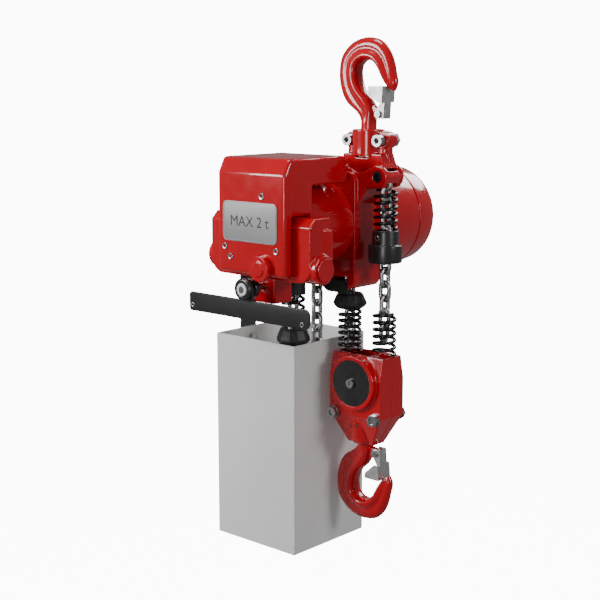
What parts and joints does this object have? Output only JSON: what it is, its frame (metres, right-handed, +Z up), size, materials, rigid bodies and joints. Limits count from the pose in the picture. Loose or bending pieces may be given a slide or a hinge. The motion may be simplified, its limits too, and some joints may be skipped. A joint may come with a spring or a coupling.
{
  "type": "chain hoist",
  "caption": "Compressed-air chain hoist hung by a swivelling safety hook, with a motor and gear casing, a pull-cord lever, a chain container and a hook block on two falls of chain.",
  "frame": {"origin": "the bearing point inside the bowl of the top hook, on the load line", "axes": "+Z up along the load line, -Y towards the rating plate and the control lever, +X to the right when facing the rating plate; both hooks open towards +X"},
  "size_m": [0.2993, 0.3825, 0.799],
  "materials": {
    "red_paint": "gloss",
    "zinc_steel": "satin zinc",
    "latch_zinc": "satin zinc sheet",
    "bare_steel": "machined",
    "chain_steel": "galvanised",
    "spring_steel": "black oxide",
    "black_steel": "satin black",
    "black_plastic": "satin",
    "black_rubber": "moulded",
    "plate_grey": "matt printed",
    "container_grey": "satin powder coat"
  },
  "bodies": {
    "top_hook": {"top_hook": "red_paint", "top_hook_nut": "zinc_steel", "top_latch_pin": "zinc_steel"},
    "top_latch": {"top_latch": "latch_zinc"},
    "load_wheel": {"load_wheel": "bare_steel", "planet_carrier": "bare_steel", "wheel_chain": "chain_steel"},
    "rotor": {"rotor": "bare_steel", "sun_gear": "bare_steel", "brake_disc": "bare_steel"},
    "planet_1": {"planet_gear_1": "bare_steel"},
    "planet_2": {"planet_gear_2": "bare_steel"},
    "planet_3": {"planet_gear_3": "bare_steel"},
    "control_lever": {"control_lever": "black_steel", "control_shaft": "zinc_steel", "lever_knob": "black_plastic"},
    "valve_spool": {"valve_spool": "bare_steel"},
    "limit_lever": {"limit_lever": "black_rubber"},
    "hook_block": {"block_front": "red_paint", "block_rear": "red_paint", "sheave_axle": "bare_steel", "axle_covers": "black_plastic", "block_fasteners": "zinc_steel", "bottom_thrust_bearing": "bare_steel", "dead_lower_spring": "spring_steel", "live_spring": "spring_steel"},
    "live_bumper": {"live_bumper": "black_rubber"},
    "sheave": {"sheave": "bare_steel", "sheave_chain": "chain_steel"},
    "bottom_hook": {"bottom_hook": "red_paint", "bottom_hook_nut": "zinc_steel", "bottom_latch_pin": "zinc_steel"},
    "bottom_latch": {"bottom_latch": "latch_zinc"},
    "hoist": {"brake_pack": "bare_steel", "buffer_springs": "spring_steel", "central_casing": "red_paint", "chain_container": "container_grey", "clamp_screws": "zinc_steel", "container_bracket": "black_steel", "control_valve": "red_paint", "cover_screws": "zinc_steel", "end_cap": "red_paint", "fall_chain": "chain_steel", "front_cover": "red_paint", "gear_housing": "red_paint", "hanger_front": "red_paint", "hanger_rear": "red_paint", "hoist_bearings": "bare_steel", "hoist_pins": "black_steel", "motor_housing": "red_paint", "motor_stator": "bare_steel", "port_caps": "red_paint", "rating_plate": "plate_grey", "ring_gear": "bare_steel", "slack_chain": "chain_steel", "stop_collar": "black_steel", "stored_chain": "chain_steel", "tail_anchor": "black_steel", "tail_bumper": "black_rubber", "valve_block": "red_paint"}
  },
  "joints": [
    {"name": "top_hook_swivel", "type": "hinge", "parent": "top_hook", "child": "hoist", "pos_m": [0, 0, -0.12], "axis": [0, 0, 1], "continuous": true},
    {"name": "top_latch_hinge", "type": "hinge", "parent": "top_hook", "child": "top_latch", "pos_m": [0.025, 0, -0.079], "axis": [0, 1, 0], "range_deg": [-35, 0], "stiffness_Nm_per_rad": 0.15, "springref_deg": 28.65},
    {"name": "load_wheel_spin", "type": "hinge", "parent": "hoist", "child": "load_wheel", "pos_m": [-0.0684, 0, -0.245], "axis": [0, 1, 0], "continuous": true},
    {"name": "rotor_spin", "type": "hinge", "parent": "hoist", "child": "rotor", "pos_m": [-0.0684, -0.076, -0.245], "axis": [0, 1, 0], "continuous": true},
    {"name": "planet_1_spin", "type": "hinge", "parent": "load_wheel", "child": "planet_1", "pos_m": [-0.0294, 0.073, -0.245], "axis": [0, 1, 0], "continuous": true},
    {"name": "planet_2_spin", "type": "hinge", "parent": "load_wheel", "child": "planet_2", "pos_m": [-0.0879, 0.073, -0.21123], "axis": [0, 1, 0], "continuous": true},
    {"name": "planet_3_spin", "type": "hinge", "parent": "load_wheel", "child": "planet_3", "pos_m": [-0.0879, 0.073, -0.27877], "axis": [0, 1, 0], "continuous": true},
    {"name": "control_lever_tilt", "type": "hinge", "parent": "hoist", "child": "control_lever", "pos_m": [-0.0684, -0.15, -0.329], "axis": [0, 1, 0], "range_deg": [-18, 18], "stiffness_Nm_per_rad": 2},
    {"name": "spool_slide", "type": "slide", "parent": "hoist", "child": "valve_spool", "axis": [1, 0, 0], "range_m": [-0.0041, 0.0041]},
    {"name": "limit_lever_tilt", "type": "hinge", "parent": "hoist", "child": "limit_lever", "pos_m": [-0.066, -0.019, -0.339], "axis": [0, 1, 0], "range_deg": [-6, 0], "stiffness_Nm_per_rad": 1, "springref_deg": 11.46},
    {"name": "block_lift", "type": "slide", "parent": "hoist", "child": "hook_block", "axis": [0, 0, 1], "range_m": [0, 0.005]},
    {"name": "bumper_slide", "type": "slide", "parent": "hook_block", "child": "live_bumper", "axis": [0, 0, 1], "range_m": [-0.005, 0], "deforming": ["live_spring"]},
    {"name": "sheave_spin", "type": "hinge", "parent": "hook_block", "child": "sheave", "pos_m": [0, 0, -0.488], "axis": [0, 1, 0], "continuous": true},
    {"name": "bottom_hook_swivel", "type": "hinge", "parent": "hook_block", "child": "bottom_hook", "pos_m": [0, 0, -0.572], "axis": [0, 0, 1], "continuous": true},
    {"name": "bottom_latch_hinge", "type": "hinge", "parent": "bottom_hook", "child": "bottom_latch", "pos_m": [0.025, 0, -0.601], "axis": [0, 1, 0], "range_deg": [0, 35], "stiffness_Nm_per_rad": 0.15, "springref_deg": -28.65}
  ],
  "couplings": [
    {"joint": "rotor_spin", "follows": "load_wheel_spin", "ratio": 5.2},
    {"joint": "planet_1_spin", "follows": "load_wheel_spin", "ratio": -2.625},
    {"joint": "planet_2_spin", "follows": "load_wheel_spin", "ratio": -2.625},
    {"joint": "planet_3_spin", "follows": "load_wheel_spin", "ratio": -2.625},
    {"joint": "sheave_spin", "follows": "load_wheel_spin", "ratio": -0.5},
    {"joint": "spool_slide", "follows": "control_lever_tilt", "m_per_rad": 0.012},
    {"joint": "bumper_slide", "follows": "block_lift", "ratio": -1}
  ]
}
